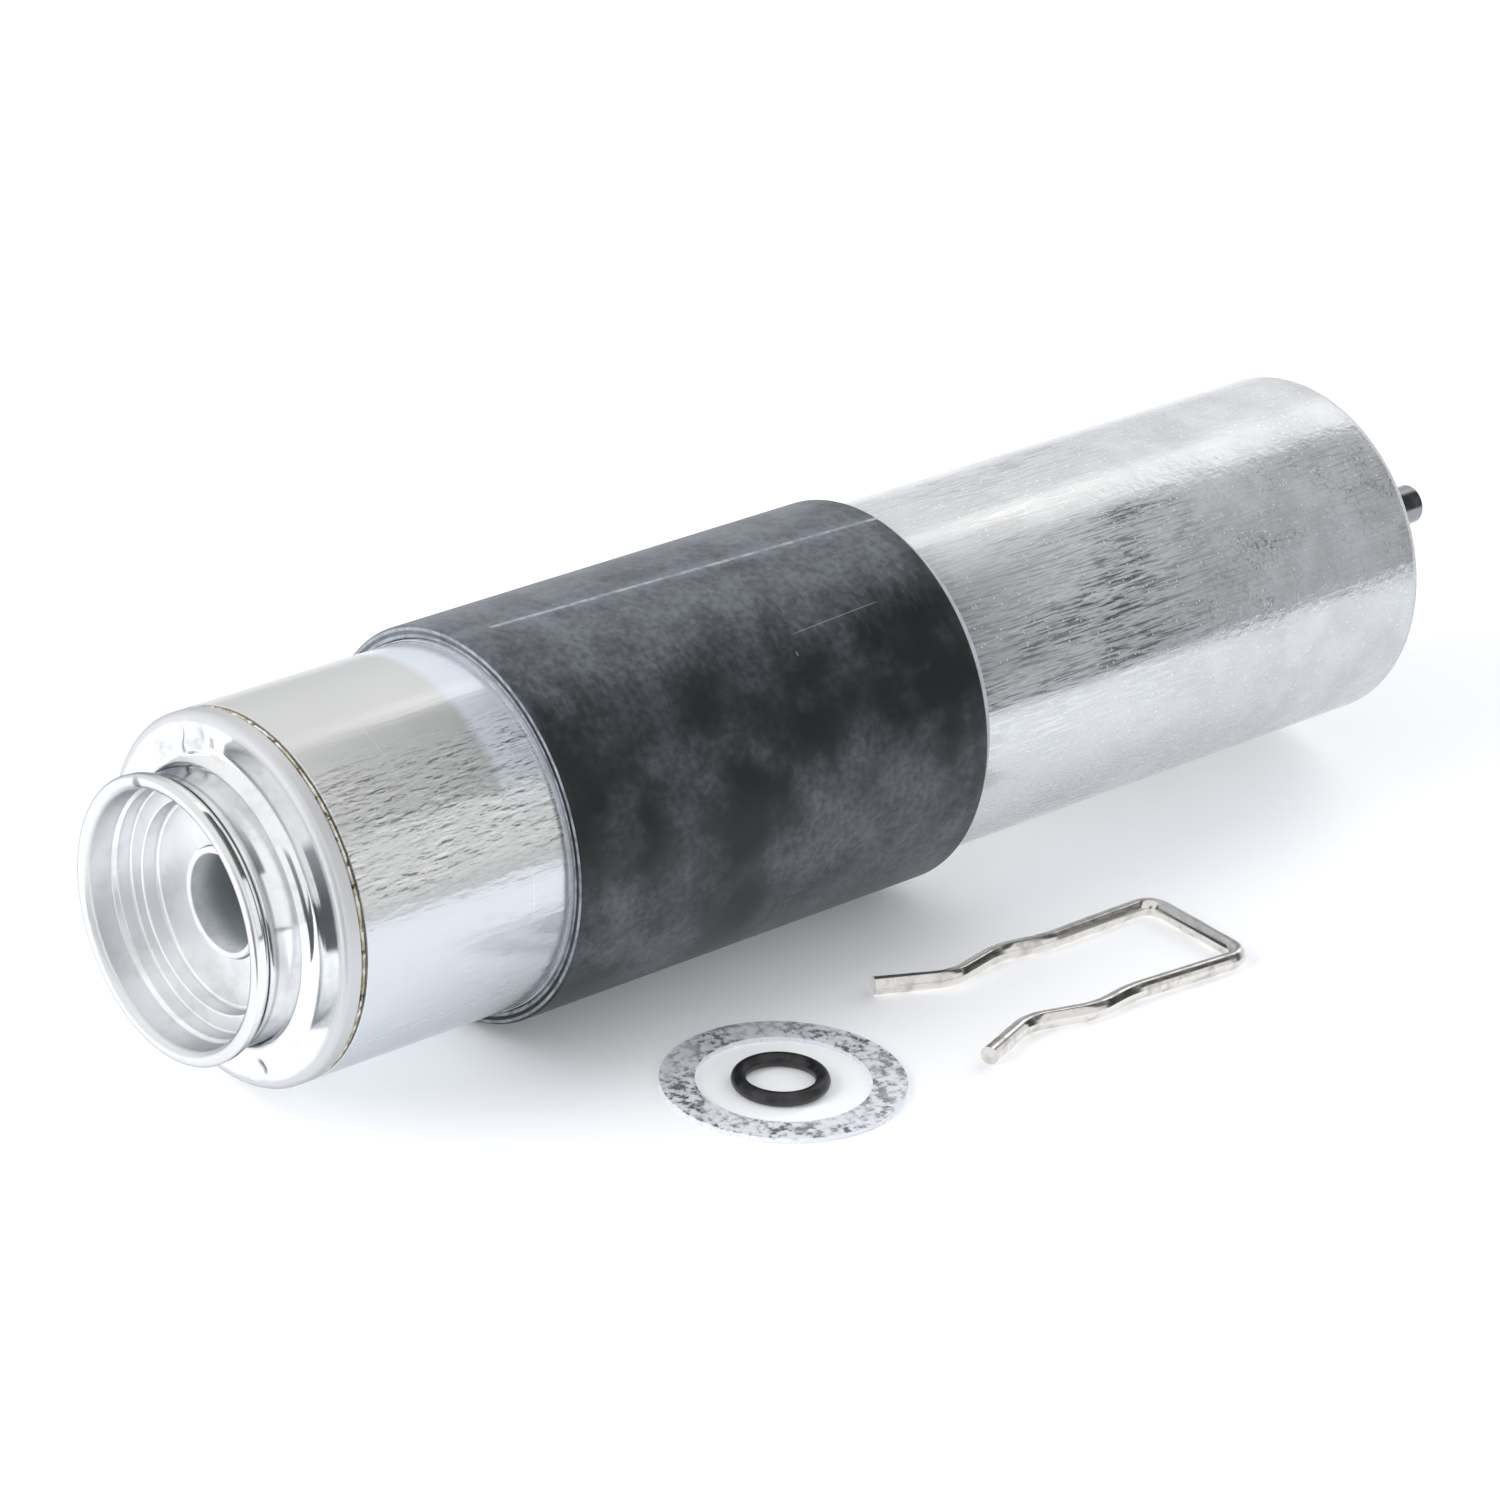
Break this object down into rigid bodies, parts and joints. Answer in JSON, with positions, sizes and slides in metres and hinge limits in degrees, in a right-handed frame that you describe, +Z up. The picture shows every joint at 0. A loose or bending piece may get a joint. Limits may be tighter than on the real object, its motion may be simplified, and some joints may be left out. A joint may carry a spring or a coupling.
{
  "type": "fuel filter",
  "caption": "Long cylindrical in-line fuel filter: aluminium can with a socketed inlet head, hose nipple and rubber mounting sleeve, with loose seals and a wire clip beside it.",
  "frame": {"origin": "on the table, under the middle of the rubber mounting sleeve", "axes": "+X along the can from inlet to outlet, +Z up, the loose kit lies on the -Y side"},
  "size_m": [0.2512, 0.0943, 0.0595],
  "materials": {
    "can_aluminium": "drawn, satin with fine axial streaks",
    "head_aluminium": "turned and polished",
    "inlet_tube_aluminium": "satin",
    "seam_sealant": "cured sealant",
    "head_seal_rubber": "moulded",
    "sleeve_rubber": "moulded, matt with a chalky bloom",
    "nipple_aluminium": "turned",
    "washer_fibre": "fibre",
    "filter_paper": "resin paper",
    "strip_steel": "folded strip",
    "support_steel": "perforated, plated",
    "disc_tinplate": "tinplate",
    "pleat_adhesive": "cured adhesive",
    "grommet_rubber": "moulded",
    "spring_steel": "drawn wire",
    "seal_ring_metal": "bright, mottled",
    "port_ring_rubber": "moulded, satin",
    "clip_wire": "bright spring wire"
  },
  "bodies": {
    "filter": {"filter_can": "can_aluminium", "inlet_head": "head_aluminium", "inlet_tube": "inlet_tube_aluminium", "seam_bead": "seam_sealant", "head_o_ring": "head_seal_rubber", "outlet_nipple": "nipple_aluminium", "outlet_washer": "washer_fibre", "element_spring": "spring_steel"},
    "sleeve": {"mounting_sleeve": "sleeve_rubber"},
    "element": {"filter_paper": "filter_paper", "pleat_clip": "strip_steel", "support_tube": "support_steel", "front_end_disc": "disc_tinplate", "rear_end_disc": "disc_tinplate", "front_bond": "pleat_adhesive", "rear_bond": "pleat_adhesive", "outlet_grommet": "grommet_rubber"},
    "seal_ring": {"flat_seal_ring": "seal_ring_metal"},
    "o_ring": {"port_o_ring": "port_ring_rubber"},
    "clip": {"retaining_clip": "clip_wire"}
  },
  "joints": [
    {"name": "sleeve_slide", "type": "slide", "parent": "filter", "child": "sleeve", "axis": [1, 0, 0], "range_m": [-0.035, 0.093]},
    {"name": "element_float", "type": "slide", "parent": "filter", "child": "element", "axis": [-1, 0, 0], "range_m": [0, 0.002], "stiffness_N_per_m": 1500, "springref_m": -0.006, "deforming": ["element_spring"]},
    {"name": "seal_ring_lift", "type": "slide", "parent": "filter", "child": "seal_ring", "axis": [0, -0.5, 0.866], "range_m": [0, 0.08]},
    {"name": "o_ring_lift", "type": "slide", "parent": "filter", "child": "o_ring", "axis": [0, -0.5, 0.866], "range_m": [0, 0.08]},
    {"name": "clip_lift", "type": "slide", "parent": "filter", "child": "clip", "axis": [0, -0.5, 0.866], "range_m": [0, 0.08]}
  ]
}
